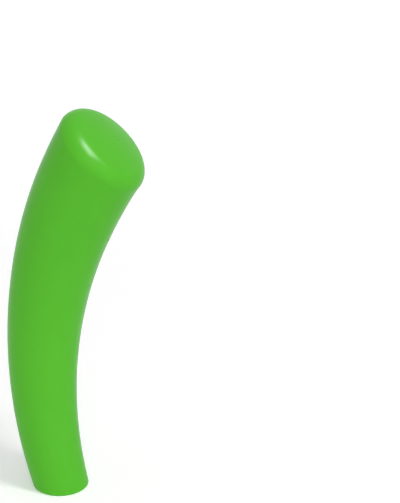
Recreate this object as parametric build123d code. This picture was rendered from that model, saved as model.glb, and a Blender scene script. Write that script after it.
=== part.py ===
from build123d import *
from math import asin, atan2, ceil, cos, degrees, pi, radians, sin, tan
import os

os.makedirs("parts", exist_ok=True)

# Sizes are in millimetres and angles in degrees. The origin is the centre of the foot, on the
# ground. Z is up, and the post bends in the XZ plane with its head towards +X.

# Body: a moulded tube along one even bend, flaring towards its head
foot_radius = 79.5
middle_radius = 106.6
head_radius = 137.6
axis_length = 1071.0
foot_lean = -14.7
axis_bend = 46.65
face_tilt = 12.8
face_tilt_start = 0.7
crown_height = 58.0
knuckle_radius = 47.0
wall = 6.0
foot_edge_radius = 4.0
section_pitch = 90.0

# Foot: a steel plate let into the body from below
plate_radius = 73.5
plate_thickness = 12.0
plate_clearance = 0.4
foot_flange_width = 12.0
foot_flange_height = 14.0
anchor_circle_radius = 44.0
anchor_hole_radius = 5.5
anchor_count = 4
foot_screw_count = 6
foot_screw_edge_distance = 6.5
foot_screw_radius = 2.5
foot_screw_head_radius = 4.8
foot_screw_length = 20.0
insert_radius = 3.5
insert_length = 10.0
screw_hole_clearance = 0.4
head_set_back = 0.2
drive_radius = 1.4
drive_depth = 1.6

# Water inlet and the quarter-turn valve above it
thread_radius = 15.15
thread_clearance = 0.05
socket_outer_radius = 20.5
socket_height = 40.0
supply_thread_length = 18.0
joint_thread_length = 16.0
thread_end_gap = 1.0
port_radius = 12.0
nipple_hex_height = 10.0
nipple_hex_flats = 36.0
valve_ball_radius = 17.0
valve_seat_gap = 0.3
valve_floor_gap = 1.5
valve_end_thread_length = 8.0
valve_barrel_radius = 24.5
valve_hex_flats = 41.0
valve_hex_height = 14.0
valve_chamber_radius = 20.3
valve_seat_height = 7.5
valve_neck_radius = 9.5
valve_neck_reach = 37.0
stem_radius = 5.0
stem_clearance = 0.08
stem_tang_width = 6.0
stem_tang_depth = 4.0
packing_radius = 8.0
packing_length = 5.0
gland_flats = 19.0
gland_height = 5.0
gland_thread_length = 4.0
handle_gap = 0.5
handle_length = 64.0
handle_width = 11.0
handle_thickness = 6.0
handle_hub_radius = 8.5
handle_stud_radius = 3.0
handle_nut_flats = 10.0
handle_nut_height = 4.5

# Hexagons are turned off at their ends, and cuts run past the faces that they leave
hex_sides = 6
hex_chamfer_angle = 30.0
hex_face_relief = 0.3
cut_overrun = 1.0

# Union, riser and branch
union_hex_flats = 38.0
union_hex_height = 10.0
union_thread_radius = 18.0
union_thread_length = 10.0
union_nut_flats = 44.0
union_nut_wall = 3.5
union_nut_gap = 1.0
collar_radius = 16.5
collar_height = 5.0
riser_radius = 10.65
riser_wall = 2.0
riser_bend_height = 450.0
riser_lean = 10.0
riser_low_bend = 700.0
riser_high_bend = 230.0
branch_radius = 8.6
branch_wall = 1.6
pipe_entry = 12.0
pipe_clearance = 0.05
pipe_socket_wall = 2.7
pipe_stop = 1.0

# Jets: a ball that tilts on two pins in a ring that turns, flush with the body
lower_jet_share = 0.8
lower_jet_aim = 30.0
upper_jet_aim = 0.0
ball_radius = 7.0
ball_gap = 0.3
ball_bore_radius = 3.5
ball_tilt_limit = 32.0
lip_margin = 2.0
orifice_radius = 1.75
tip_radius = 2.75
tip_length = 8.0
pin_radius = 1.2
pin_clearance = 0.06
pin_hole_depth = 1.8
swivel_wall = 2.3
swivel_set_back = 0.4
swivel_land = 9.0
shoulder_width = 1.0
shoulder_height = 2.0
spin_clearance = 0.08
axial_gap = 0.3
housing_wall = 1.6
flange_width = 2.0
flange_thickness = 2.0
gasket_thickness = 1.0
jet_hole_clearance = 0.1
jet_seam = 0.12
jet_insert_wall = 3.9
jet_insert_depth = 5.0
jet_insert_length = 15.0
insert_groove_depth = 1.0
boss_margin = 4.5
seat_thickness = 3.0
seat_nose_wall = 1.0
tail_thread_length = 7.0
tail_flange_height = 3.5
spigot_radius = 8.0
spigot_bore = 5.0
spigot_length = 26.0
spigot_clearance = 0.15
seal_groove_depth = 1.4
seal_width = 2.4
seal_spacing = 7.0
spanner_hole_radius = 0.8
spanner_hole_depth = 1.5

# Hatch: a flush cover at the back of the foot
hatch_along = 125.0
hatch_opening_width = 52.0
hatch_opening_height = 120.0
hatch_side_ledge = 10.0
hatch_end_ledge = 14.0
hatch_corner_radius = 12.0
cover_thickness = 4.0
cover_gap = 0.4
cover_gasket_thickness = 1.5
cover_screw_radius = 2.5
cover_screw_head_radius = 4.6
cover_screw_length = 10.0
cover_insert_length = 5.0
hatch_frame_rim = 5.0
hatch_cut_depth = 50.0

bend_radius = axis_length / radians(axis_bend)


# Body form

def lean_at(along):
    return foot_lean + axis_bend * along / axis_length


def axis_point(along):
    start = radians(foot_lean)
    here = radians(lean_at(along))
    return Vector(bend_radius * (cos(start) - cos(here)), 0, bend_radius * (sin(here) - sin(start)))


def radius_at(along):
    # The flare passes through the foot, middle and head radii
    share = along / axis_length
    square = 2 * (foot_radius + head_radius - 2 * middle_radius)
    slope = head_radius - foot_radius - square
    return foot_radius + slope * share + square * share**2


def tilted(point, lean):
    # A plane whose normal leans from upright towards +X
    angle = radians(lean)
    return Plane(origin=point, x_dir=(cos(angle), 0, -sin(angle)), z_dir=(sin(angle), 0, cos(angle)))


def section_plane(along):
    share = (along / axis_length - face_tilt_start) / (1 - face_tilt_start)
    share = min(max(share, 0), 1)
    return tilted(axis_point(along), lean_at(along) + face_tilt * share**2 * (3 - 2 * share))


def sections(inset, first, last):
    count = ceil((last - first) / section_pitch)
    stations = [first + (last - first) * i / count for i in range(count + 1)]
    return [section_plane(s) * Circle(radius_at(s) - inset) for s in stations]


def surface_point(along, side):
    plane = section_plane(along)
    return plane.origin + plane.x_dir * (side * radius_at(along))


def surface_plane(along, side):
    # On the front (side 1) or back (side -1) line of the body, normal to it
    step = surface_point(along + 1, side) - surface_point(along - 1, side)
    slope = degrees(atan2(step.X, step.Z))
    return tilted(surface_point(along, side), slope + 90 * side)


def crown_plane():
    return section_plane(axis_length).offset(crown_height)


def crowned_body(inset):
    # The tube is run on past its last section, cut by the crown's sphere and rounded
    end = section_plane(axis_length)
    overrun = crown_height + knuckle_radius / 2
    flare = radius_at(axis_length) - radius_at(axis_length - 1)
    rings = sections(inset, -section_pitch, axis_length)
    for step in (overrun / 2, overrun):
        rings.append(end.offset(step) * Circle(head_radius + flare * step - inset))
    rim = head_radius - knuckle_radius
    rise = crown_height - knuckle_radius
    crown_radius = (rim**2 + crown_height**2 - knuckle_radius**2) / (2 * rise) - inset
    beyond = end.offset(-rise) * extrude(Circle(2 * head_radius), 2 * head_radius)
    crown = end.offset(crown_height - inset - crown_radius) * Sphere(crown_radius)
    body = loft(rings) - (beyond - crown)
    edge = body.faces().filter_by(GeomType.SPHERE).edges()
    return fillet(edge, knuckle_radius - inset)


def above(height):
    return Pos(0, 0, height) * extrude(Circle(axis_length), 2 * axis_length)


# Simple forms, about their own Z axis

def turned(*corners):
    # Corners are (radius, height) pairs
    profile = Polyline([(radius, 0, height) for radius, height in corners], close=True)
    return revolve(make_face(profile), Axis.Z)


def ring(inner, outer, low, high):
    return turned((inner, low), (outer, low), (outer, high), (inner, high))


def rod(radius, low, high):
    return Pos(0, 0, low) * extrude(Circle(radius), high - low)


def hexagon(flats, low, high, low_free=True, high_free=True):
    # A free end has its corners turned off, from just inside the flats
    outline = RegularPolygon(flats / 2, hex_sides, major_radius=False)
    inner = flats / 2 - hex_face_relief
    outer = flats / 2 / cos(pi / hex_sides) + hex_face_relief
    rise = (outer - inner) * tan(radians(hex_chamfer_angle))
    low_rise = rise if low_free else 0
    high_rise = rise if high_free else 0
    blank = turned((0, low), (inner, low), (outer, low + low_rise), (outer, high - high_rise),
                   (inner, high), (0, high))
    return Pos(0, 0, low) * extrude(outline, high - low) & blank


def flat_screw(radius, head_radius, length):
    # A countersunk screw whose head lies at z = 0, with a round drive recess
    cone = head_radius - radius
    body = turned((0, 0), (head_radius, 0), (radius, -cone), (radius, -length), (0, -length))
    return body - rod(drive_radius, -drive_depth, 0)


def flat_screw_hole(radius, head_radius, depth):
    # The countersink runs on above z = 0, clear of a curved face
    cone = head_radius - radius
    side = radius + screw_hole_clearance
    mouth = head_radius + screw_hole_clearance
    return turned((0, cone), (mouth, cone), (mouth, 0), (side, -cone), (side, -depth), (0, -depth))


def around(count, radius, start=0.0):
    return PolarLocations(radius, count, start_angle=start)


# Jets, each on a plane that touches the body, Z outwards

lip_angle = ball_tilt_limit + degrees(asin(orifice_radius / ball_radius)) + lip_margin
seat_sphere = ball_radius + ball_gap
ball_level = -swivel_set_back - seat_sphere * cos(radians(lip_angle))
swivel_radius = seat_sphere + swivel_wall
shoulder_top = -swivel_set_back - swivel_land
swivel_end = shoulder_top - shoulder_height
housing_bore = swivel_radius + shoulder_width + ball_gap
housing_radius = housing_bore + housing_wall
flange_radius = housing_radius + flange_width
seat_rear = swivel_end - axial_gap - seat_thickness
housing_end = seat_rear - tail_thread_length
tail_flange_end = housing_end - tail_flange_height
spigot_end = tail_flange_end - spigot_length
jet_hole_radius = housing_radius + jet_hole_clearance
jet_insert_radius = housing_radius + jet_insert_wall
boss_radius = jet_insert_radius + boss_margin
boss_depth = jet_insert_depth + jet_insert_length + boss_margin


def jet_insert_form():
    low = -jet_insert_depth - jet_insert_length
    band = jet_insert_length / 5
    form = rod(jet_insert_radius, low, -jet_insert_depth)
    for level in (low + band, low + 3 * band):
        form -= ring(jet_insert_radius - insert_groove_depth, jet_insert_radius + cut_overrun,
                     level, level + band)
    return form


def jet_opening():
    flange_seat = flange_thickness + gasket_thickness
    hole = rod(jet_hole_radius, -2 * boss_depth, 2 * flange_thickness)
    return hole + rod(flange_radius + jet_seam, -flange_seat, 2 * flange_thickness)


def jet_housing():
    lip = swivel_radius + spin_clearance
    lip_end = shoulder_top + axial_gap
    top = 2 * flange_thickness
    form = turned((lip, top), (flange_radius, top), (flange_radius, -flange_thickness),
                  (housing_radius, -flange_thickness), (housing_radius, housing_end),
                  (housing_bore, housing_end), (housing_bore, lip_end), (lip, lip_end))
    hole = rod(spanner_hole_radius, -spanner_hole_depth, top)
    for side in (-1, 1):
        form -= Pos(0, side * (lip + flange_radius) / 2, 0) * hole
    return form


def jet_gasket():
    low = -flange_thickness - gasket_thickness
    return ring(housing_radius, flange_radius - jet_seam, low, -flange_thickness)


def jet_swivel():
    top = -swivel_set_back
    shoulder = swivel_radius + shoulder_width
    form = turned((0, top), (swivel_radius, top), (swivel_radius, shoulder_top),
                  (shoulder, shoulder_top), (shoulder, swivel_end), (0, swivel_end))
    form -= Pos(0, 0, ball_level) * Sphere(seat_sphere)
    form -= rod(seat_sphere, swivel_end, ball_level)
    form -= Pos(0, 0, ball_level) * Rot(90, 0, 0) * rod(pin_radius, -shoulder, shoulder)
    hole = rod(spanner_hole_radius, top - spanner_hole_depth, top)
    for side in (-1, 1):
        form -= Pos(side * (swivel_radius - swivel_wall / 2), 0, 0) * hole
    return form


def jet_pins():
    inner = ball_bore_radius + pin_hole_depth
    pin = rod(pin_radius, inner, swivel_radius - axial_gap)
    return [Pos(0, 0, ball_level) * Rot(turn, 0, 0) * pin for turn in (-90, 90)]


def jet_ball(aim):
    form = Sphere(ball_radius)
    form -= rod(ball_bore_radius, -ball_radius, ball_radius - tip_length / 2)
    form -= rod(tip_radius, 0, ball_radius)
    hole = rod(pin_radius + pin_clearance, ball_bore_radius + pin_hole_depth - axial_gap, ball_radius)
    for turn in (-90, 90):
        form -= Rot(turn, 0, 0) * hole
    return Pos(0, 0, ball_level) * Rot(0, aim, 0) * form


def jet_tip(aim):
    step = ball_radius - tip_length / 2
    rear = ball_radius - tip_length
    form = turned((orifice_radius, ball_radius), (tip_radius, ball_radius), (tip_radius, step),
                  (ball_bore_radius, step), (ball_bore_radius, rear), (tip_radius, rear),
                  (orifice_radius, step))
    return Pos(0, 0, ball_level) * Rot(0, aim, 0) * (form & Sphere(ball_radius))


def jet_seat():
    # A base ring and a nose that reaches into the ring to bear on the back of the ball
    nose_outer = seat_sphere - ball_gap
    nose_inner = nose_outer - seat_nose_wall
    nose_top = ball_level - 2 * pin_radius
    form = turned((nose_inner, seat_rear), (housing_bore, seat_rear),
                  (housing_bore, swivel_end - axial_gap), (nose_outer, swivel_end - axial_gap),
                  (nose_outer, nose_top), (nose_inner, nose_top))
    return form - Pos(0, 0, ball_level) * Sphere(seat_sphere)


def seal_grooves():
    first = spigot_end + seal_spacing / 2
    return [(low, low + seal_width) for low in (first, first + seal_spacing)]


def jet_tail():
    mouth = seat_sphere - ball_gap - seat_nose_wall
    form = turned((mouth, seat_rear), (housing_bore, seat_rear), (housing_bore, housing_end),
                  (housing_radius, housing_end), (housing_radius, tail_flange_end),
                  (spigot_radius, tail_flange_end), (spigot_radius, spigot_end),
                  (spigot_bore, spigot_end), (spigot_bore, housing_end))
    for low, high in seal_grooves():
        form -= ring(spigot_radius - seal_groove_depth, spigot_radius + cut_overrun, low, high)
    return form


def jet_seals():
    inner = spigot_radius - seal_groove_depth
    outer = spigot_radius + spigot_clearance
    return [ring(inner, outer, low, high) for low, high in seal_grooves()]


def jet_socket(pipe_radius):
    # A sleeve that takes the spigot at its mouth and the pipe at its back
    top = tail_flange_end - axial_gap
    step = spigot_end - axial_gap
    bore = spigot_radius + spigot_clearance
    seat = pipe_radius + pipe_clearance
    outer = max(bore, seat) + pipe_socket_wall
    form = rod(outer, step - pipe_entry, top)
    form -= rod(bore, step, top)
    form -= rod(min(bore, seat) - pipe_stop, step - pipe_entry, step)
    form -= rod(seat, step - pipe_entry, step - pipe_stop)
    return form


def socket_step():
    return spigot_end - axial_gap - pipe_stop


upper_jet = crown_plane()
lower_jet = surface_plane(lower_jet_share * axis_length, 1)
jet_planes = {"upper": upper_jet, "lower": lower_jet}
jet_aims = {"upper": upper_jet_aim, "lower": -lower_jet_aim}


# Hatch, on a plane that touches the back of the body, its X axis along the body

hatch = surface_plane(hatch_along, -1)
hatch_recess_depth = cover_thickness + cover_gasket_thickness
cover_insert_low = -hatch_recess_depth - head_set_back - cover_insert_length
rebate_width = hatch_opening_width + 2 * hatch_side_ledge
rebate_height = hatch_opening_height + 2 * hatch_end_ledge


def hatch_cut(outline):
    return hatch.offset(-hatch_cut_depth) * extrude(outline, 2 * hatch_cut_depth)


def hatch_prism(shrink):
    # Shrink runs inwards from the rebate's outline on every side
    return hatch_cut(RectangleRounded(rebate_height - 2 * shrink, rebate_width - 2 * shrink,
                                      hatch_corner_radius - shrink))


def hatch_hole():
    return hatch_cut(RectangleRounded(hatch_opening_height, hatch_opening_width, hatch_corner_radius))


def low_body(inset):
    return loft(sections(inset, -section_pitch, hatch_along + rebate_height + section_pitch))


def hatch_screw_planes():
    # The back of the body is longer than its axis by the share of its radius in the bend
    back_stretch = 1 + radius_at(hatch_along) / bend_radius
    offset = (hatch_opening_height + hatch_end_ledge) / 2 / back_stretch
    return [surface_plane(hatch_along + side * offset, -1) for side in (-1, 1)]


# Foot

foot_flange_inner = plate_radius - foot_flange_width
foot_ring_top = plate_thickness + foot_flange_height
foot_screw_circle = plate_radius - foot_screw_edge_distance
anchor_holes = around(anchor_count, anchor_circle_radius, 180 / anchor_count)
foot_screws = around(foot_screw_count, foot_screw_circle)


def foot_insert():
    return rod(insert_radius, plate_thickness, plate_thickness + insert_length)


def make_foot(parts):
    plate = rod(plate_radius, 0, plate_thickness) - rod(socket_outer_radius, 0, plate_thickness)
    plate -= anchor_holes * rod(anchor_hole_radius, 0, plate_thickness)
    hole = flat_screw_hole(foot_screw_radius, foot_screw_head_radius, plate_thickness)
    plate -= foot_screws * (Rot(180, 0, 0) * hole)
    parts["base_plate"] = plate
    screw = Rot(180, 0, 0) * flat_screw(foot_screw_radius, foot_screw_head_radius, foot_screw_length)
    parts["foot_screws"] = foot_screws * (Pos(0, 0, head_set_back) * screw)
    insert = foot_insert() - rod(foot_screw_radius, 0, head_set_back + foot_screw_length)
    parts["foot_inserts"] = foot_screws * insert


def make_shell(parts):
    outer = crowned_body(0) & above(0)
    foot_edge = outer.edges().group_by(Axis.Z)[0]
    outer = fillet(foot_edge, foot_edge_radius)
    cavity = crowned_body(wall) & above(foot_ring_top)
    frame = (hatch_prism(-hatch_frame_rim) & low_body(wall / 2)) - low_body(hatch_recess_depth + wall)
    cavity -= frame
    for plane in jet_planes.values():
        cavity -= plane * rod(boss_radius, -boss_depth, boss_radius)
    shell = outer - cavity
    shell -= rod(plate_radius + plate_clearance, 0, plate_thickness)
    shell -= rod(foot_flange_inner, plate_thickness, foot_ring_top)
    shell -= foot_screws * foot_insert()
    shell -= hatch_prism(0) - low_body(hatch_recess_depth)
    shell -= hatch_hole()
    for plane in hatch_screw_planes():
        shell -= plane * cover_insert_form()
        shell -= plane * rod(cover_screw_radius + screw_hole_clearance, -cover_screw_length, 0)
    for plane in jet_planes.values():
        shell -= plane * jet_opening()
        shell -= plane * jet_insert_form()
    parts["shell"] = shell
    return outer


def cover_insert_form():
    return rod(insert_radius, cover_insert_low, cover_insert_low + cover_insert_length)


def make_hatch(parts, outer):
    cover = (hatch_prism(cover_gap) & outer) - low_body(cover_thickness)
    gasket = (hatch_prism(cover_gap) & low_body(cover_thickness)) - low_body(hatch_recess_depth)
    gasket -= hatch_hole()
    hole = flat_screw_hole(cover_screw_radius, cover_screw_head_radius, 2 * hatch_recess_depth)
    screw = flat_screw(cover_screw_radius, cover_screw_head_radius, cover_screw_length - head_set_back)
    screws = []
    inserts = []
    for plane in hatch_screw_planes():
        cover -= plane * hole
        gasket -= plane * hole
        screws.append(plane.offset(-head_set_back) * screw)
        insert = cover_insert_form() - rod(cover_screw_radius, cover_insert_low, 0)
        inserts.append(plane * insert)
    parts["access_cover"] = cover
    parts["cover_gasket"] = gasket
    parts["cover_screws"] = screws
    parts["cover_inserts"] = inserts


def make_jets(parts, outer):
    for name, plane in jet_planes.items():
        aim = jet_aims[name]
        insert = jet_insert_form() - rod(housing_radius, -boss_depth, 0)
        pieces = {
            "insert": insert,
            "gasket": jet_gasket(),
            "swivel": jet_swivel(),
            "pins": jet_pins(),
            "ball": jet_ball(aim),
            "tip": jet_tip(aim),
            "seat": jet_seat(),
            "tail": jet_tail(),
            "seals": jet_seals(),
        }
        for piece, form in pieces.items():
            forms = form if isinstance(form, list) else [form]
            parts[f"{name}_{piece}"] = [plane * one for one in forms]
        parts[f"{name}_housing"] = (plane * jet_housing()) & outer


# Valve stack, upwards from the foot

supply_top = socket_height
valve_bottom = supply_top + nipple_hex_height
chamber_bottom = valve_bottom + joint_thread_length
valve_centre = chamber_bottom + valve_ball_radius + valve_floor_gap
chamber_top = 2 * valve_centre - chamber_bottom
barrel_top = chamber_top + valve_end_thread_length
valve_top = barrel_top + valve_hex_height
union_seat = valve_top + union_hex_height + union_thread_length
stem_line = Pos(0, 0, valve_centre) * Rot(0, -90, 0)
gland_face = valve_neck_reach + gland_height
hub_face = gland_face + handle_gap
hub_end = hub_face + handle_thickness
stem_end = hub_end + handle_nut_height


def threaded_male(low, high):
    return rod(thread_radius - thread_clearance, low, high)


def make_inlet(parts):
    socket = ring(port_radius, socket_outer_radius, 0, socket_height)
    socket -= rod(thread_radius, 0, supply_thread_length)
    socket -= rod(thread_radius, socket_height - joint_thread_length, socket_height)
    parts["inlet_socket"] = socket
    nipple = threaded_male(socket_height - joint_thread_length, supply_top)
    nipple += hexagon(nipple_hex_flats, supply_top, valve_bottom)
    nipple += threaded_male(valve_bottom, valve_bottom + joint_thread_length - thread_end_gap)
    parts["inlet_nipple"] = nipple - rod(port_radius, 0, valve_top)


def make_valve(parts):
    body = rod(valve_barrel_radius, valve_bottom + valve_hex_height, barrel_top)
    body += hexagon(valve_hex_flats, valve_bottom, valve_bottom + valve_hex_height, high_free=False)
    body += stem_line * rod(valve_neck_radius, 0, valve_neck_reach)
    body -= rod(thread_radius, valve_bottom, valve_bottom + joint_thread_length - thread_end_gap)
    body -= rod(port_radius, valve_bottom, barrel_top)
    body -= rod(valve_chamber_radius, chamber_bottom, barrel_top)
    body -= stem_line * rod(stem_radius + stem_clearance, 0, valve_neck_reach)
    body -= stem_line * rod(packing_radius, valve_neck_reach - packing_length - gland_thread_length,
                            valve_neck_reach)
    parts["valve_body"] = body

    end = rod(valve_chamber_radius, chamber_top, barrel_top)
    end += hexagon(valve_hex_flats, barrel_top, valve_top, low_free=False)
    end -= rod(port_radius, chamber_top, valve_top)
    end -= rod(thread_radius, valve_top - joint_thread_length + thread_end_gap, valve_top)
    parts["valve_end"] = end

    seat_sphere_radius = valve_ball_radius + valve_seat_gap
    keep = Pos(0, 0, valve_centre) * Sphere(seat_sphere_radius)
    low = ring(port_radius, valve_chamber_radius, chamber_bottom, chamber_bottom + valve_seat_height) - keep
    high = ring(port_radius, valve_chamber_radius, chamber_top - valve_seat_height, chamber_top) - keep
    parts["valve_seats"] = [low, high]

    tang_start = valve_ball_radius - stem_tang_depth
    slot = Box(stem_tang_width, 2 * valve_ball_radius, stem_tang_depth,
               align=(Align.CENTER, Align.CENTER, Align.MIN))
    ball = Sphere(valve_ball_radius) - rod(port_radius, -valve_ball_radius, valve_ball_radius)
    ball = Pos(0, 0, valve_centre) * ball - stem_line * (Pos(0, 0, tang_start) * slot)
    parts["valve_ball"] = ball
    tang = slot & rod(stem_radius, 0, stem_tang_depth)
    stem = Pos(0, 0, tang_start) * tang + rod(stem_radius, valve_ball_radius, hub_end)
    stem += rod(handle_stud_radius, hub_end, stem_end)
    parts["valve_stem"] = stem_line * stem

    packing_start = valve_neck_reach - packing_length - gland_thread_length
    packing_end = packing_start + packing_length
    packing = ring(stem_radius + stem_clearance, packing_radius, packing_start, packing_end)
    parts["stem_packing"] = stem_line * packing
    gland = rod(packing_radius, packing_end, valve_neck_reach)
    gland += hexagon(gland_flats, valve_neck_reach, gland_face, low_free=False)
    gland -= rod(stem_radius + valve_seat_gap, packing_end, gland_face)
    parts["gland_nut"] = stem_line * gland

    bar = SlotOverall(handle_length, handle_width)
    handle = Pos(0, 0, hub_face) * extrude(bar, handle_thickness)
    handle += rod(handle_hub_radius, hub_face, hub_end)
    handle -= rod(stem_radius, hub_face, hub_end)
    parts["valve_handle"] = stem_line * handle
    nut = hexagon(handle_nut_flats, hub_end, stem_end) - rod(handle_stud_radius, hub_end, stem_end)
    parts["handle_nut"] = stem_line * nut


def make_union(parts):
    hex_top = valve_top + union_hex_height
    tail = threaded_male(valve_top - joint_thread_length + thread_end_gap, valve_top)
    tail += hexagon(union_hex_flats, valve_top, hex_top)
    tail += rod(union_thread_radius, hex_top, union_seat)
    bore = riser_radius - riser_wall
    parts["union_tail"] = tail - rod(bore, valve_top - joint_thread_length, union_seat)
    parts["riser_collar"] = ring(riser_radius, collar_radius, union_seat, union_seat + collar_height)
    nut_low = hex_top + union_nut_gap
    nut_top = union_seat + collar_height + union_nut_wall
    nut = hexagon(union_nut_flats, nut_low, nut_top)
    nut -= rod(union_thread_radius + thread_clearance, nut_low, union_seat + collar_height)
    parts["union_nut"] = nut - rod(riser_radius + valve_seat_gap, nut_low, nut_top)


def crossing(point_a, direction_a, point_b, direction_b):
    # Where two lines of the XZ plane meet
    gap = point_b - point_a
    cross = direction_a.X * direction_b.Z - direction_a.Z * direction_b.X
    along = (gap.X * direction_b.Z - gap.Z * direction_b.X) / cross
    return point_a + direction_a * along


def make_riser(parts):
    riser_end = upper_jet.offset(socket_step()).origin
    low_bend = Vector(0, 0, riser_bend_height)
    run = Vector(sin(radians(riser_lean)), 0, cos(radians(riser_lean)))
    high_bend = crossing(low_bend, run, riser_end, upper_jet.z_dir)
    route = FilletPolyline(Vector(0, 0, union_seat), low_bend, high_bend, riser_end,
                           radius=[riser_low_bend, riser_high_bend])
    start = Plane(origin=(0, 0, union_seat), z_dir=(0, 0, 1))
    outside = sweep(start * Circle(riser_radius), route)
    inside = sweep(start * Circle(riser_radius - riser_wall), route)

    branch_root = crossing(low_bend, run, lower_jet.origin, lower_jet.z_dir)
    branch_length = (lower_jet.origin - branch_root).length
    branch = lower_jet * ring(branch_radius - branch_wall, branch_radius, -branch_length, socket_step())
    branch_bore = lower_jet * rod(branch_radius - branch_wall, -branch_length, 0)
    parts["riser_pipe"] = outside - inside - branch_bore
    parts["branch_pipe"] = (branch - outside).solids().sort_by(Axis.X)[-1]
    parts["upper_socket"] = upper_jet * jet_socket(riser_radius)
    parts["lower_socket"] = lower_jet * jet_socket(branch_radius)


def solids_of(form):
    if isinstance(form, list):
        return [solid for one in form for solid in one.solids()]
    return form.solids()


def main():
    parts = {}
    outer = make_shell(parts)
    make_foot(parts)
    make_hatch(parts, outer)
    make_jets(parts, outer)
    make_inlet(parts)
    make_valve(parts)
    make_union(parts)
    make_riser(parts)
    for name, form in parts.items():
        solids = solids_of(form)
        whole = solids[0] if len(solids) == 1 else Compound(children=solids)
        export_step(whole, f"parts/{name}.step")
        print(name, len(solids), round(sum(solid.volume for solid in solids)))


main()
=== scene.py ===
import bpy
from math import atan, atan2, cos, pi, radians, sin, sqrt
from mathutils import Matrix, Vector


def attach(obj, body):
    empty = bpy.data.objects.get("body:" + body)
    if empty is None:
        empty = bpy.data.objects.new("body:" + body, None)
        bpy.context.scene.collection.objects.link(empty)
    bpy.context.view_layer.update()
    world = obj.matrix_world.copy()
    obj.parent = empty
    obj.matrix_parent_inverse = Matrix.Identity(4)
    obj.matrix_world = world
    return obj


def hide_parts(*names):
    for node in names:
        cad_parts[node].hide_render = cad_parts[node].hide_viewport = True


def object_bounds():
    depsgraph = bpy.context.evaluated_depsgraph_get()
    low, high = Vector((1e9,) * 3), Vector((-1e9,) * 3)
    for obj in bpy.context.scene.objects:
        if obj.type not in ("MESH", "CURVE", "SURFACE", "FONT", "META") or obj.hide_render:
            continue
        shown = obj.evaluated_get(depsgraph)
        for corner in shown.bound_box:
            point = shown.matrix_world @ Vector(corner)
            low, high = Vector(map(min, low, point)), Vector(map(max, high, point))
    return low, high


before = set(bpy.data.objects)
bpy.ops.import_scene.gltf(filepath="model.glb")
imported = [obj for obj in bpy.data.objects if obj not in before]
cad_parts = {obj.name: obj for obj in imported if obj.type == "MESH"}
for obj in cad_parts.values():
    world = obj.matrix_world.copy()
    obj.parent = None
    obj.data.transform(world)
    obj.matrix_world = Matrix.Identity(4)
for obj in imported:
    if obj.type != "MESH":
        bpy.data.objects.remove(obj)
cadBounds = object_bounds()
print("frame loaded:", len(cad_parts), "CAD nodes")


# Camera: the photograph's viewing angle

viewpoint = {
    "place": (1.442, -3.092, 1.976),     # metres
    "turn": (69.82, 0.0, 18.08),         # degrees
    "lens": 93.04,                       # mm on a 36 mm sensor
    "sensor": 36.0,
}


def makeCamera():
    data = bpy.data.cameras.new("photoCamera")
    data.lens = viewpoint["lens"]
    data.sensor_width = viewpoint["sensor"]
    camera = bpy.data.objects.new("photoCamera", data)
    camera.location = viewpoint["place"]
    camera.rotation_euler = [radians(angle) for angle in viewpoint["turn"]]
    bpy.context.scene.collection.objects.link(camera)
    bpy.context.scene.camera = camera
    print("camera placed")


# Colours are written as the sRGB values that they show

def linear(tone):
    parts = [value / 255 for value in tone]
    return [p / 12.92 if p <= 0.04045 else ((p + 0.055) / 1.055) ** 2.4 for p in parts] + [1.0]


def newNode(tree, kind, **settings):
    node = tree.nodes.new(kind)
    for name, value in settings.items():
        setattr(node, name, value)
    return node


# Shared effects, as node groups

def newGroup(name, inputs, outputs):
    tree = bpy.data.node_groups.new(name, "ShaderNodeTree")
    for label, kind, value in inputs:
        socket = tree.interface.new_socket(name=label, in_out="INPUT", socket_type=kind)
        socket.default_value = value
    for label, kind in outputs:
        tree.interface.new_socket(name=label, in_out="OUTPUT", socket_type=kind)
    return tree, newNode(tree, "NodeGroupInput"), newNode(tree, "NodeGroupOutput")


def makeSurfaceGroup():
    # A broad drift of tone and a fine grain, both in object space
    inputs = [("Tone A", "NodeSocketColor", (0.5, 0.5, 0.5, 1)),
              ("Tone B", "NodeSocketColor", (0.4, 0.4, 0.4, 1)),
              ("Drift Scale", "NodeSocketFloat", 6.0), ("Grain Scale", "NodeSocketFloat", 900.0),
              ("Roughness Low", "NodeSocketFloat", 0.3), ("Roughness High", "NodeSocketFloat", 0.4)]
    outputs = [("Color", "NodeSocketColor"), ("Roughness", "NodeSocketFloat"),
               ("Height", "NodeSocketFloat")]
    tree, start, end = newGroup("mouldedSurface", inputs, outputs)
    link = tree.links.new
    place = newNode(tree, "ShaderNodeTexCoord")
    drift = newNode(tree, "ShaderNodeTexNoise", noise_dimensions="3D")
    drift.inputs["Detail"].default_value = 3.0
    grain = newNode(tree, "ShaderNodeTexNoise", noise_dimensions="3D")
    grain.inputs["Detail"].default_value = 2.0
    link(place.outputs["Object"], drift.inputs["Vector"])
    link(place.outputs["Object"], grain.inputs["Vector"])
    link(start.outputs["Drift Scale"], drift.inputs["Scale"])
    link(start.outputs["Grain Scale"], grain.inputs["Scale"])
    blend = newNode(tree, "ShaderNodeMix", data_type="RGBA")
    link(drift.outputs["Fac"], blend.inputs[0])
    link(start.outputs["Tone A"], blend.inputs[6])       # a colour mix's A is 6, B is 7
    link(start.outputs["Tone B"], blend.inputs[7])
    spread = newNode(tree, "ShaderNodeMapRange")
    link(drift.outputs["Fac"], spread.inputs["Value"])
    link(start.outputs["Roughness Low"], spread.inputs["To Min"])
    link(start.outputs["Roughness High"], spread.inputs["To Max"])
    link(blend.outputs[2], end.inputs["Color"])
    link(spread.outputs["Result"], end.inputs["Roughness"])
    link(grain.outputs["Fac"], end.inputs["Height"])
    return tree


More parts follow.
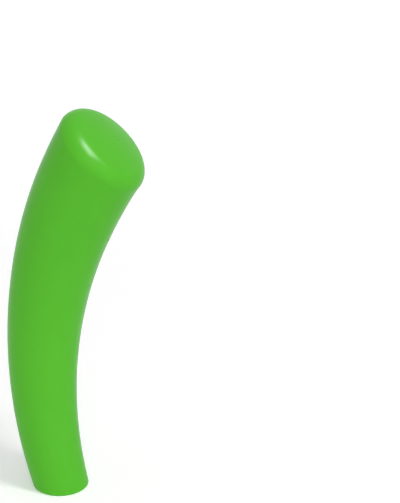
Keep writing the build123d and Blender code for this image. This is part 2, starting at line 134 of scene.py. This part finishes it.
def makeBrushGroup():
    # Fine lines along one axis, as left by a brush or a lathe tool
    inputs = [("Stretch", "NodeSocketVector", (40.0, 40.0, 4000.0)),
              ("Low", "NodeSocketFloat", 0.2), ("High", "NodeSocketFloat", 0.4)]
    outputs = [("Roughness", "NodeSocketFloat"), ("Height", "NodeSocketFloat")]
    tree, start, end = newGroup("brushedLines", inputs, outputs)
    link = tree.links.new
    place = newNode(tree, "ShaderNodeTexCoord")
    stretch = newNode(tree, "ShaderNodeMapping")
    lines = newNode(tree, "ShaderNodeTexNoise", noise_dimensions="3D")
    lines.inputs["Scale"].default_value = 1.0
    lines.inputs["Detail"].default_value = 3.0
    link(place.outputs["Object"], stretch.inputs["Vector"])
    link(start.outputs["Stretch"], stretch.inputs["Scale"])
    link(stretch.outputs["Vector"], lines.inputs["Vector"])
    spread = newNode(tree, "ShaderNodeMapRange")
    link(lines.outputs["Fac"], spread.inputs["Value"])
    link(start.outputs["Low"], spread.inputs["To Min"])
    link(start.outputs["High"], spread.inputs["To Max"])
    link(spread.outputs["Result"], end.inputs["Roughness"])
    link(lines.outputs["Fac"], end.inputs["Height"])
    return tree


# Finishes, one for each material slot: tones in sRGB, scales per metre, bump in metres

finishes = {
    "shell_plastic": {
        "toneA": (90, 190, 48), "toneB": (87, 184, 46), "specular": 0.07,
        "driftScale": 3.0, "grainScale": 700.0, "roughness": (0.28, 0.32), "bump": 0.00002,
    },
    "jet_plastic": {
        "toneA": (90, 190, 48), "toneB": (87, 184, 46), "specular": 0.07,
        "driftScale": 9.0, "grainScale": 1500.0, "roughness": (0.28, 0.34), "bump": 0.00002,
    },
    "tip_acetal": {
        "toneA": (110, 212, 85), "toneB": (104, 204, 78),
        "driftScale": 60.0, "grainScale": 2500.0, "roughness": (0.32, 0.4), "bump": 0.00002,
    },
    "seal_rubber": {
        "toneA": (34, 35, 36), "toneB": (26, 27, 28),
        "driftScale": 30.0, "grainScale": 1800.0, "roughness": (0.6, 0.75), "bump": 0.00004,
    },
    "seat_ptfe": {
        "toneA": (232, 232, 226), "toneB": (222, 222, 214),
        "driftScale": 40.0, "grainScale": 1600.0, "roughness": (0.45, 0.55), "bump": 0.00002,
    },
    "handle_coating": {
        "toneA": (186, 42, 34), "toneB": (174, 36, 30),
        "driftScale": 30.0, "grainScale": 1200.0, "roughness": (0.38, 0.48), "bump": 0.00005,
    },
    "stainless_plate": {
        "metal": True, "toneA": (196, 198, 200), "toneB": (184, 187, 190),
        "driftScale": 12.0, "stretch": (4000.0, 40.0, 40.0), "roughness": (0.32, 0.46), "bump": 0.00001,
    },
    "stainless_pipe": {
        "metal": True, "toneA": (200, 202, 204), "toneB": (188, 190, 194),
        "driftScale": 15.0, "stretch": (3000.0, 3000.0, 30.0), "roughness": (0.26, 0.38), "bump": 0.00001,
    },
    "stainless_bright": {
        "metal": True, "toneA": (206, 208, 210), "toneB": (198, 200, 203),
        "driftScale": 60.0, "stretch": (60.0, 60.0, 5000.0), "roughness": (0.18, 0.28), "bump": 0.000005,
    },
    "brass_plain": {
        "metal": True, "toneA": (206, 172, 98), "toneB": (190, 156, 84),
        "driftScale": 60.0, "stretch": (60.0, 60.0, 5000.0), "roughness": (0.28, 0.4), "bump": 0.000008,
    },
    "valve_brass": {
        "metal": True, "toneA": (200, 168, 96), "toneB": (184, 150, 82),
        "driftScale": 35.0, "stretch": (40.0, 40.0, 3500.0), "roughness": (0.3, 0.44), "bump": 0.00001,
    },
    "valve_chrome": {
        "metal": True, "toneA": (220, 222, 224), "toneB": (212, 214, 217),
        "driftScale": 20.0, "stretch": (60.0, 60.0, 3000.0), "roughness": (0.08, 0.14), "bump": 0.000002,
    },
}


def makeFinish(slot, look, groups):
    material = bpy.data.materials.new(slot)
    material.use_nodes = True
    tree = material.node_tree
    link = tree.links.new
    shader = tree.nodes["Principled BSDF"]
    shader.inputs["Metallic"].default_value = 1.0 if look.get("metal") else 0.0
    shader.inputs["Specular IOR Level"].default_value = look.get("specular", 0.5)
    surface = newNode(tree, "ShaderNodeGroup", node_tree=groups["surface"])
    surface.inputs["Tone A"].default_value = linear(look["toneA"])
    surface.inputs["Tone B"].default_value = linear(look["toneB"])
    surface.inputs["Drift Scale"].default_value = look["driftScale"]
    surface.inputs["Roughness Low"].default_value = look["roughness"][0]
    surface.inputs["Roughness High"].default_value = look["roughness"][1]
    detail = surface
    if look.get("metal"):
        detail = newNode(tree, "ShaderNodeGroup", node_tree=groups["brush"])
        detail.inputs["Stretch"].default_value = look["stretch"]
        detail.inputs["Low"].default_value = look["roughness"][0]
        detail.inputs["High"].default_value = look["roughness"][1]
    else:
        surface.inputs["Grain Scale"].default_value = look["grainScale"]
    bump = newNode(tree, "ShaderNodeBump")
    bump.inputs["Distance"].default_value = look["bump"]
    link(detail.outputs["Height"], bump.inputs["Height"])
    link(surface.outputs["Color"], shader.inputs["Base Color"])
    link(detail.outputs["Roughness"], shader.inputs["Roughness"])
    link(bump.outputs["Normal"], shader.inputs["Normal"])
    return material


def dressNodes():
    groups = {"surface": makeSurfaceGroup(), "brush": makeBrushGroup()}
    materials = {slot: makeFinish(slot, look, groups) for slot, look in finishes.items()}
    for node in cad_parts.values():
        for place in node.material_slots:
            place.material = materials[place.material.name.split(".")[0]]
    print("finishes set on", len(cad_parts), "nodes")
    return materials


# Numbers that vary over a mesh, written as plain sums and turned into Math nodes

class Field:
    def __init__(self, tree, socket):
        self.tree = tree
        self.socket = socket

    def made(self, operation, *others):
        node = newNode(self.tree, "ShaderNodeMath", operation=operation)
        for place, value in zip(node.inputs, (self,) + others):
            feed(self.tree, value, place)
        return Field(self.tree, node.outputs[0])

    def __add__(self, other):
        return self.made("ADD", other)

    def __sub__(self, other):
        return self.made("SUBTRACT", other)

    def __rsub__(self, other):
        return self.made("MULTIPLY", -1.0).made("ADD", other)

    def __mul__(self, other):
        return self.made("MULTIPLY", other)

    def __truediv__(self, other):
        return self.made("DIVIDE", other)

    __radd__ = __add__
    __rmul__ = __mul__

    def clipped(self):
        return self.made("MAXIMUM", 0.0).made("MINIMUM", 1.0)

    def sine(self):
        return self.made("SINE")

    def cosine(self):
        return self.made("COSINE")


def feed(tree, value, place):
    # A field is linked to its place, and a plain number is set there
    if isinstance(value, Field):
        tree.links.new(value.socket, place)
    else:
        place.default_value = value


def choose(tree, test, no, yes):
    node = newNode(tree, "GeometryNodeSwitch", input_type="FLOAT")
    for place, value in zip(node.inputs, (test, no, yes)):
        feed(tree, value, place)
    return Field(tree, node.outputs[0])


def geometryTree(name, inputs):
    # A tree with a geometry output and named inputs, which come back as fields
    tree = bpy.data.node_groups.new(name, "GeometryNodeTree")
    for label, value in inputs.items():
        kind = "NodeSocketInt" if isinstance(value, int) else "NodeSocketFloat"
        socket = tree.interface.new_socket(name=label, in_out="INPUT", socket_type=kind)
        socket.default_value = value
    tree.interface.new_socket(name="Geometry", in_out="OUTPUT", socket_type="NodeSocketGeometry")
    start = newNode(tree, "NodeGroupInput")
    fields = {label: Field(tree, start.outputs[label]) for label in inputs}
    return tree, fields, newNode(tree, "NodeGroupOutput")


# Post body: circles along one even bend, a rounded rim and a crown, in metres and radians

post = {
    "Foot Radius": 0.0795,
    "Middle Radius": 0.1066,
    "Head Radius": 0.1376,
    "Axis Length": 1.0710,
    "Foot Lean": radians(-14.7),
    "Axis Bend": radians(46.65),
    "Face Tilt": radians(12.8),
    "Tilt Start": 0.7,
    "Crown Height": 0.058,
    "Knuckle Radius": 0.047,
    "Foot Edge": 0.004,
    "Wall": 0.006,
    "Around": 192,
    "Foot Rings": 6,
    "Body Rings": 160,
    "Knuckle Rings": 26,
    "Crown Rings": 18,
}
nearly = 0.0001                          # how close to a border still counts as on it
solverRounds = 3


def crownSizes():
    # The rim's ball touches the flaring side and the crown's sphere
    foot, middle, head = post["Foot Radius"], post["Middle Radius"], post["Head Radius"]
    square = 2 * (foot + head - 2 * middle)
    flare = atan((head - foot + square) / post["Axis Length"])
    ball, rise = post["Knuckle Radius"], post["Crown Height"] - post["Knuckle Radius"]
    crown = ((head - ball) ** 2 + post["Crown Height"] ** 2 - ball ** 2) / (2 * rise)
    start = Vector((head - ball * cos(flare), ball * sin(flare) - post["Crown Height"] + crown))
    way = Vector((sin(flare), cos(flare)))
    reach = way.dot(start) - sqrt(way.dot(start) ** 2 - start.length_squared + (crown - ball) ** 2)
    centre = start - way * reach
    return {"Flare": flare, "Crown Radius": crown, "Ball Radius": centre.x,
            "Ball Height": centre.y + post["Crown Height"] - crown, "Side Short": reach * cos(flare),
            "Crown Angle": atan2(centre.x, centre.y)}


def radiusField(i, along):
    share = along / i["Axis Length"]
    square = (i["Foot Radius"] + i["Head Radius"] - i["Middle Radius"] * 2.0) * 2.0
    slope = i["Head Radius"] - i["Foot Radius"] - square
    return i["Foot Radius"] + slope * share + square * share * share - i["Inset"]


def stationField(i, cosTurn, height):
    # Where the side line at this turn reaches a height, by repeated substitution
    bend = i["Axis Length"] / i["Axis Bend"]
    radius = i["Foot Radius"] - i["Inset"]
    for _ in range(solverRounds):
        sineLean = (bend * i["Foot Lean"].sine() + height) / (bend - radius * cosTurn)
        lean = sineLean.made("ARCSINE")
        along = (lean - i["Foot Lean"]) * bend
        radius = radiusField(i, along)
    return along


def makeFormTree():
    # One closed body: Inset moves its wall inwards, Floor is the height of its flat foot
    sizes = {label: value for label, value in post.items() if label != "Wall"}
    tree, i, end = geometryTree("postForm", {**sizes, **crownSizes(), "Inset": 0.0, "Floor": 0.0})
    link = tree.links.new
    rings = i["Foot Rings"] + i["Body Rings"] + i["Knuckle Rings"]
    blank = newNode(tree, "GeometryNodeMeshCylinder", fill_type="TRIANGLE_FAN")
    blankSizes = {"Vertices": i["Around"], "Side Segments": rings, "Fill Segments": i["Crown Rings"],
                  "Radius": 1.0, "Depth": 1.0}
    for label, value in blankSizes.items():
        feed(tree, value, blank.inputs[label])

    split = newNode(tree, "ShaderNodeSeparateXYZ")
    link(newNode(tree, "GeometryNodeInputPosition").outputs[0], split.inputs[0])
    x, y, z = (Field(tree, socket) for socket in split.outputs)
    turn = y.made("ARCTAN2", x)
    spread = (x * x + y * y).made("SQRT")
    ring = (z + 0.5) * rings
    footShare = (ring / i["Foot Rings"]).clipped()
    bodyShare = ((ring - i["Foot Rings"]) / i["Body Rings"]).clipped()
    knuckleShare = ((ring - i["Foot Rings"] - i["Body Rings"]) / i["Knuckle Rings"]).clipped()
    aboveBody = knuckleShare.made("GREATER_THAN", nearly)
    onCrown = z.made("GREATER_THAN", 0.5 - nearly)
    underFoot = z.made("LESS_THAN", nearly - 0.5)

    footTurn = footShare * (pi / 2)
    edgeHeight = i["Foot Edge"] * (1.0 - footTurn.cosine())
    edgeInset = i["Foot Edge"] * (1.0 - footTurn.sine())
    low = stationField(i, turn.cosine(), i["Floor"] + edgeHeight)
    sideTop = i["Axis Length"] - i["Side Short"]
    along = choose(tree, aboveBody, low + (sideTop - low) * bodyShare, i["Axis Length"])

    rim = i["Knuckle Radius"] - i["Inset"]
    rimTurn = knuckleShare * (pi / 2 - i["Crown Angle"] + i["Flare"]) - i["Flare"]
    crown = i["Crown Radius"] - i["Inset"]
    crownTurn = i["Crown Angle"] * spread
    crownLevel = i["Crown Height"] - i["Crown Radius"]
    capRadius = choose(tree, onCrown, i["Ball Radius"] + rim * rimTurn.cosine(),
                       crown * crownTurn.sine())
    capHeight = choose(tree, onCrown, i["Ball Height"] + rim * rimTurn.sine(),
                       crownLevel + crown * crownTurn.cosine())
    radius = choose(tree, aboveBody, radiusField(i, along), capRadius)
    height = choose(tree, aboveBody, 0.0, capHeight)

    bend = i["Axis Length"] / i["Axis Bend"]
    lean = i["Foot Lean"] + i["Axis Bend"] * along / i["Axis Length"]
    share = ((along / i["Axis Length"] - i["Tilt Start"]) / (1.0 - i["Tilt Start"])).clipped()
    tilt = lean + i["Face Tilt"] * share * share * (3.0 - share * 2.0)
    across = radius * turn.cosine()
    axisX = bend * (i["Foot Lean"].cosine() - lean.cosine())
    axisZ = bend * (lean.sine() - i["Foot Lean"].sine())
    bentX = axisX + height * tilt.sine() + across * tilt.cosine()
    bentY = radius * turn.sine()
    bentZ = axisZ + height * tilt.cosine() - across * tilt.sine()
    flat = choose(tree, underFoot, 1.0, spread)
    fromMiddle = (bentX * bentX + bentY * bentY).made("SQRT").made("MAXIMUM", nearly)
    shrink = flat * (1.0 - edgeInset / fromMiddle)

    place = newNode(tree, "ShaderNodeCombineXYZ")
    for field, socket in zip((bentX * shrink, bentY * shrink, bentZ), place.inputs):
        link(field.socket, socket)
    move = newNode(tree, "GeometryNodeSetPosition")
    link(blank.outputs["Mesh"], move.inputs["Geometry"])
    link(place.outputs[0], move.inputs["Position"])
    link(move.outputs[0], end.inputs["Geometry"])
    return tree


# Places on the body, worked out by the same rule in plain numbers

def radiusAt(along):
    share = along / post["Axis Length"]
    square = 2 * (post["Foot Radius"] + post["Head Radius"] - 2 * post["Middle Radius"])
    slope = post["Head Radius"] - post["Foot Radius"] - square
    return post["Foot Radius"] + slope * share + square * share ** 2


def leanAt(along):
    return post["Foot Lean"] + post["Axis Bend"] * along / post["Axis Length"]


def sideWay(turn):
    return Vector((cos(turn), 0, -sin(turn)))


def axisPoint(along):
    bend = post["Axis Length"] / post["Axis Bend"]
    start, here = post["Foot Lean"], leanAt(along)
    return Vector((bend * (cos(start) - cos(here)), 0, bend * (sin(here) - sin(start))))


def endPlace():
    # Middle of the crown, and the lean of its face
    turn = leanAt(post["Axis Length"]) + post["Face Tilt"]
    rise = Vector((sin(turn), 0, cos(turn))) * post["Crown Height"]
    return axisPoint(post["Axis Length"]) + rise, turn


def sidePlace(along, side, step=0.001):
    # A point on the front (side 1) or back (side -1) line, and the lean of the wall's normal
    def point(at):
        share = (at / post["Axis Length"] - post["Tilt Start"]) / (1 - post["Tilt Start"])
        share = min(max(share, 0), 1)
        turn = leanAt(at) + post["Face Tilt"] * share ** 2 * (3 - 2 * share)
        return axisPoint(at) + sideWay(turn) * side * radiusAt(at)
    way = point(along + step) - point(along - step)
    return point(along), atan2(way.x, way.z) + side * pi / 2


# Cutters, each on a place of its own with Z outwards

def moved(tree, geometry, place, level):
    origin, turn = place
    node = newNode(tree, "GeometryNodeTransform")
    tree.links.new(geometry, node.inputs["Geometry"])
    node.inputs["Translation"].default_value = origin + Vector((sin(turn), 0, cos(turn))) * level
    node.inputs["Rotation"].default_value = (0, turn, 0)
    return node.outputs[0]


def roundCutter(tree, place, radius, low, high, around):
    node = newNode(tree, "GeometryNodeMeshCylinder", fill_type="NGON")
    node.inputs["Vertices"].default_value = around
    node.inputs["Radius"].default_value = radius
    node.inputs["Depth"].default_value = high - low
    return moved(tree, node.outputs["Mesh"], place, (high + low) / 2)


def softCutter(tree, place, long, wide, corner, low, high):
    # A prism with rounded corners: a filled outline, pushed out, and its own floor put back
    outline = newNode(tree, "GeometryNodeCurvePrimitiveQuadrilateral")
    outline.inputs["Width"].default_value = long
    outline.inputs["Height"].default_value = wide
    rounded = newNode(tree, "GeometryNodeFilletCurve", mode="POLY")
    rounded.inputs["Radius"].default_value = corner
    rounded.inputs["Count"].default_value = fittings["cornerSteps"]
    face = newNode(tree, "GeometryNodeFillCurve", mode="NGONS")
    push = newNode(tree, "GeometryNodeExtrudeMesh")
    push.inputs["Offset Scale"].default_value = high - low
    push.inputs["Individual"].default_value = False
    floor = newNode(tree, "GeometryNodeFlipFaces")
    joined = newNode(tree, "GeometryNodeJoinGeometry")
    closed = newNode(tree, "GeometryNodeMergeByDistance")
    closed.inputs["Distance"].default_value = fittings["mergeGap"]
    link = tree.links.new
    link(outline.outputs[0], rounded.inputs[0])
    link(rounded.outputs[0], face.inputs[0])
    link(face.outputs[0], push.inputs["Mesh"])
    link(face.outputs[0], floor.inputs["Mesh"])
    link(push.outputs["Mesh"], joined.inputs[0])
    link(floor.outputs[0], joined.inputs[0])
    link(joined.outputs[0], closed.inputs["Geometry"])
    return moved(tree, closed.outputs[0], place, low)


def boolean(tree, operation, first, others):
    node = newNode(tree, "GeometryNodeMeshBoolean", operation=operation, solver="MANIFOLD")
    tree.links.new(first, node.inputs["Mesh 1" if operation == "DIFFERENCE" else "Mesh 2"])
    for geometry in others:
        tree.links.new(geometry, node.inputs["Mesh 2"])
    return node.outputs["Mesh"]


# What is cut into the body for its fittings, in metres

fittings = {
    "plateRecess": (0.0739, 0.012),      # radius, height
    "footOpening": (0.0615, 0.026),      # radius, height
    "inserts": (6, 0.0670, 0.0035, 0.010),       # count, circle radius, radius, length
    "jetHole": 0.0126,                   # radius
    "jetSeat": (0.01462, 0.003),         # radius, depth of the flush flange's seat
    "jetInsert": (0.0164, 0.005, 0.020),         # radius, from and to depth
    "jetBoss": (0.0209, 0.0245),         # radius, depth
    "lowerJetShare": 0.8,                # place along the axis
    "hatchAlong": 0.125,                 # middle of the hatch along the axis
    "hatchRebate": (0.148, 0.072, 0.012, 0.0055),    # length, width, corner, depth
    "hatchOpening": (0.120, 0.052, 0.012),       # length, width, corner
    "hatchFrame": 0.005,                 # what the wall's inner frame adds around the rebate
    "frameFloors": (-0.01, 0.03),        # floor heights of the bodies that bound this frame
    "cutDepth": 0.050,                   # how far the hatch cutters reach in and out
    "innerEdge": 0.001,                  # edge radius of a hidden form, and a cutter's overlap
    "hiddenAround": 96,
    "hiddenRings": 60,
    "bigRounds": 160,                    # sides of the cutters' circles
    "midRounds": 128,
    "smallRounds": 96,
    "screwRounds": 32,
    "cornerSteps": 10,
    "mergeGap": 0.00001,
    "sharpAngle": radians(25),
}


def makeShellTree(material):
    tree, i, end = geometryTree("postShell", post)
    link = tree.links.new
    form = makeFormTree()
    ground = (Vector((0, 0, 0)), 0.0)
    jetPlaces = [endPlace(), sidePlace(fittings["lowerJetShare"] * post["Axis Length"], 1)]
    hatch = sidePlace(fittings["hatchAlong"], -1)
    wall, cutDepth, innerEdge = post["Wall"], fittings["cutDepth"], fittings["innerEdge"]
    bigRounds, midRounds = fittings["bigRounds"], fittings["midRounds"]
    smallRounds = fittings["smallRounds"]

    def body(values):
        node = newNode(tree, "GeometryNodeGroup", node_tree=form)
        shared = {label: i[label] for label in post if label != "Wall"}
        for label, value in {**shared, **crownSizes(), **values}.items():
            feed(tree, value, node.inputs[label])
        return node.outputs[0]

    def hiddenBody(inset, floor):
        return body({"Inset": inset, "Floor": floor, "Foot Edge": innerEdge,
                     "Around": fittings["hiddenAround"], "Body Rings": fittings["hiddenRings"]})

    def rebateCutter(more):
        long, wide, corner = (size + more * times
                              for size, times in zip(fittings["hatchRebate"], (2, 2, 1)))
        return softCutter(tree, hatch, long, wide, corner, -cutDepth, cutDepth)

    # The frame around the hatch and the jets' bosses stay in the hollow body
    rebateDepth = fittings["hatchRebate"][3]
    frameLow, frameHigh = fittings["frameFloors"]
    openRadius, openHeight = fittings["footOpening"]
    frameRing = boolean(tree, "INTERSECT", hiddenBody(wall / 2, frameLow),
                        [rebateCutter(fittings["hatchFrame"])])
    frameRing = boolean(tree, "DIFFERENCE", frameRing, [hiddenBody(rebateDepth + wall, frameHigh)])
    bossRadius, bossDepth = fittings["jetBoss"]
    bosses = [roundCutter(tree, place, bossRadius, -bossDepth, bossRadius, smallRounds)
              for place in jetPlaces]
    cavity = boolean(tree, "DIFFERENCE", hiddenBody(i["Wall"], openHeight), [frameRing, *bosses])
    rebate = boolean(tree, "DIFFERENCE", rebateCutter(0), [hiddenBody(rebateDepth, frameLow)])

    recessRadius, recessHeight = fittings["plateRecess"]
    recess = roundCutter(tree, ground, recessRadius, -recessHeight, recessHeight, bigRounds)
    opening = roundCutter(tree, ground, openRadius, 0, openHeight + innerEdge, midRounds)
    long, wide, corner = fittings["hatchOpening"]
    hatchway = softCutter(tree, hatch, long, wide, corner, -cutDepth, cutDepth)
    cutters = [cavity, rebate, recess, opening, hatchway]
    seatRadius, seatDepth = fittings["jetSeat"]
    insertRadius, insertTop, insertLow = fittings["jetInsert"]
    for place in jetPlaces:
        for radius, low, high, around in ((fittings["jetHole"], -2 * bossDepth, seatDepth, midRounds),
                                          (seatRadius, -seatDepth, seatDepth, bigRounds),
                                          (insertRadius, -insertLow, -insertTop, smallRounds)):
            cutters.append(roundCutter(tree, place, radius, low, high, around))

    # Holes for the moulded-in inserts of the foot plate's screws
    count, circle, insertSide, insertLength = fittings["inserts"]
    points = newNode(tree, "GeometryNodeMeshCircle")
    points.inputs["Vertices"].default_value = count
    points.inputs["Radius"].default_value = circle
    hole = roundCutter(tree, ground, insertSide, recessHeight - innerEdge,
                       recessHeight + insertLength, fittings["screwRounds"])
    holes = newNode(tree, "GeometryNodeInstanceOnPoints")
    link(points.outputs[0], holes.inputs["Points"])
    link(hole, holes.inputs["Instance"])
    real = newNode(tree, "GeometryNodeRealizeInstances")
    link(holes.outputs[0], real.inputs[0])
    cutters.append(real.outputs[0])

    shell = body({"Inset": 0.0, "Floor": 0.0})
    for cutter in cutters:
        shell = boolean(tree, "DIFFERENCE", shell, [cutter])
    smooth = newNode(tree, "GeometryNodeSetShadeSmooth", domain="FACE")
    link(shell, smooth.inputs["Geometry"])
    angle = newNode(tree, "GeometryNodeInputMeshEdgeAngle")
    sharp = newNode(tree, "ShaderNodeMath", operation="GREATER_THAN")
    link(angle.outputs["Unsigned Angle"], sharp.inputs[0])
    sharp.inputs[1].default_value = fittings["sharpAngle"]
    crease = newNode(tree, "GeometryNodeSetShadeSmooth", domain="EDGE")
    crease.inputs["Shade Smooth"].default_value = False
    link(smooth.outputs[0], crease.inputs["Geometry"])
    link(sharp.outputs[0], crease.inputs["Selection"])
    whole = newNode(tree, "GeometryNodeRealizeInstances")
    painted = newNode(tree, "GeometryNodeSetMaterial")
    painted.inputs["Material"].default_value = material
    link(crease.outputs[0], whole.inputs[0])
    link(whole.outputs[0], painted.inputs["Geometry"])
    link(painted.outputs[0], end.inputs["Geometry"])
    return tree


def growPiece(name, tree, values):
    # Runs a tree on an empty mesh and keeps the result as plain faces
    carrier = bpy.data.objects.new(name + "Carrier", bpy.data.meshes.new(name + "Carrier"))
    bpy.context.scene.collection.objects.link(carrier)
    modifier = carrier.modifiers.new("grow", "NODES")
    modifier.node_group = tree
    for item in tree.interface.items_tree:
        if item.in_out == "INPUT" and item.name in values:
            modifier[item.identifier] = values[item.name]
    evaluated = carrier.evaluated_get(bpy.context.evaluated_depsgraph_get())
    mesh = bpy.data.meshes.new_from_object(evaluated)
    mesh.name = name
    carrier.modifiers.remove(modifier)
    bpy.data.objects.remove(carrier)
    piece = bpy.data.objects.new(name, mesh)
    bpy.context.scene.collection.objects.link(piece)
    return piece


def makeShell(materials):
    shell = growPiece("postShell", makeShellTree(materials["shell_plastic"]), post)
    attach(shell, "post")
    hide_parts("shell")
    print("shell grown:", len(shell.data.polygons), "faces")


# Studio: a pale floor that keeps the shadow, far soft lamps and an even white surround

studio = {
    "floorSize": 60.0,                   # metres
    "floorTone": 0.92,                   # grey level of the floor for light
    "floorGlow": (0.24, 0.50),           # white added where it is seen, near and far
    "glowReach": (2.0, 12.0),            # distances from the post between which it changes
    "surround": 0.5,                     # the world's strength as light
    "surroundSeen": 1.0,                 # its strength where it is seen, which is white
    "lights": {                          # place and size in metres, power in watts
        "keyLight": {"place": (12.7, -3.4, 22.4), "size": 4.6, "power": 2150.0, "glint": False},
        "glintLight": {"place": (11.9, -4.7, 22.4), "size": 12.5, "power": 31000.0, "glint": True},
        "fillLight": {"place": (11.5, -22.5, 10.0), "size": 15.0, "power": 1980.0, "glint": False},
    },
}


def seenDirectly(tree):
    # One mask for what the camera sees, also in a mirror or through glass
    path = newNode(tree, "ShaderNodeLightPath")
    total = path.outputs["Is Camera Ray"]
    for name in ("Is Glossy Ray", "Is Transmission Ray"):
        add = newNode(tree, "ShaderNodeMath", operation="MAXIMUM")
        tree.links.new(total, add.inputs[0])
        tree.links.new(path.outputs[name], add.inputs[1])
        total = add.outputs[0]
    return total


def makeWorld():
    world = bpy.data.worlds.new("studioWorld")
    bpy.context.scene.world = world
    world.use_nodes = True
    tree = world.node_tree
    link = tree.links.new
    light = tree.nodes["Background"]
    seen = newNode(tree, "ShaderNodeBackground")
    for background, strength in ((light, studio["surround"]), (seen, studio["surroundSeen"])):
        background.inputs["Strength"].default_value = strength
        background.inputs["Color"].default_value = (1, 1, 1, 1)
    mix = newNode(tree, "ShaderNodeMixShader")
    link(seenDirectly(tree), mix.inputs[0])
    link(light.outputs[0], mix.inputs[1])
    link(seen.outputs[0], mix.inputs[2])
    link(mix.outputs[0], tree.nodes["World Output"].inputs["Surface"])


def makeFloor():
    mesh = bpy.data.meshes.new("studioFloor")
    half = studio["floorSize"] / 2
    corners = [(-half, -half, 0), (half, -half, 0), (half, half, 0), (-half, half, 0)]
    mesh.from_pydata(corners, [], [(0, 1, 2, 3)])
    floor = bpy.data.objects.new("studioFloor", mesh)
    bpy.context.scene.collection.objects.link(floor)
    material = bpy.data.materials.new("studioFloor")
    material.use_nodes = True
    tree = material.node_tree
    link = tree.links.new
    shader = tree.nodes["Principled BSDF"]
    grey = studio["floorTone"]
    shader.inputs["Base Color"].default_value = (grey, grey, grey, 1)
    shader.inputs["Roughness"].default_value = 1.0
    shader.inputs["Specular IOR Level"].default_value = 0.0
    shader.inputs["Emission Color"].default_value = (1, 1, 1, 1)
    place = newNode(tree, "ShaderNodeTexCoord")
    distance = newNode(tree, "ShaderNodeVectorMath", operation="LENGTH")
    link(place.outputs["Object"], distance.inputs[0])
    reach = newNode(tree, "ShaderNodeMapRange")
    link(distance.outputs["Value"], reach.inputs["Value"])
    for label, value in zip(("From Min", "From Max"), studio["glowReach"]):
        reach.inputs[label].default_value = value
    for label, value in zip(("To Min", "To Max"), studio["floorGlow"]):
        reach.inputs[label].default_value = value
    glow = newNode(tree, "ShaderNodeMath", operation="MULTIPLY")
    link(seenDirectly(tree), glow.inputs[0])
    link(reach.outputs["Result"], glow.inputs[1])
    link(glow.outputs[0], shader.inputs["Emission Strength"])
    mesh.materials.append(material)


def makeLights():
    target = (cadBounds[0] + cadBounds[1]) / 2
    for name, look in studio["lights"].items():
        data = bpy.data.lights.new(name, "AREA")
        data.size = look["size"]
        data.energy = look["power"]
        light = bpy.data.objects.new(name, data)
        light.location = look["place"]
        light.rotation_euler = (target - light.location).to_track_quat("-Z", "Y").to_euler()
        light.visible_diffuse = not look["glint"]        # a glint lamp only shows in gloss
        light.visible_glossy = look["glint"]
        bpy.context.scene.collection.objects.link(light)


def makeStudio():
    bpy.context.scene.view_settings.view_transform = "Standard"
    makeWorld()
    makeFloor()
    makeLights()
    print("studio lit")


makeCamera()
materials = dressNodes()
makeShell(materials)
makeStudio()
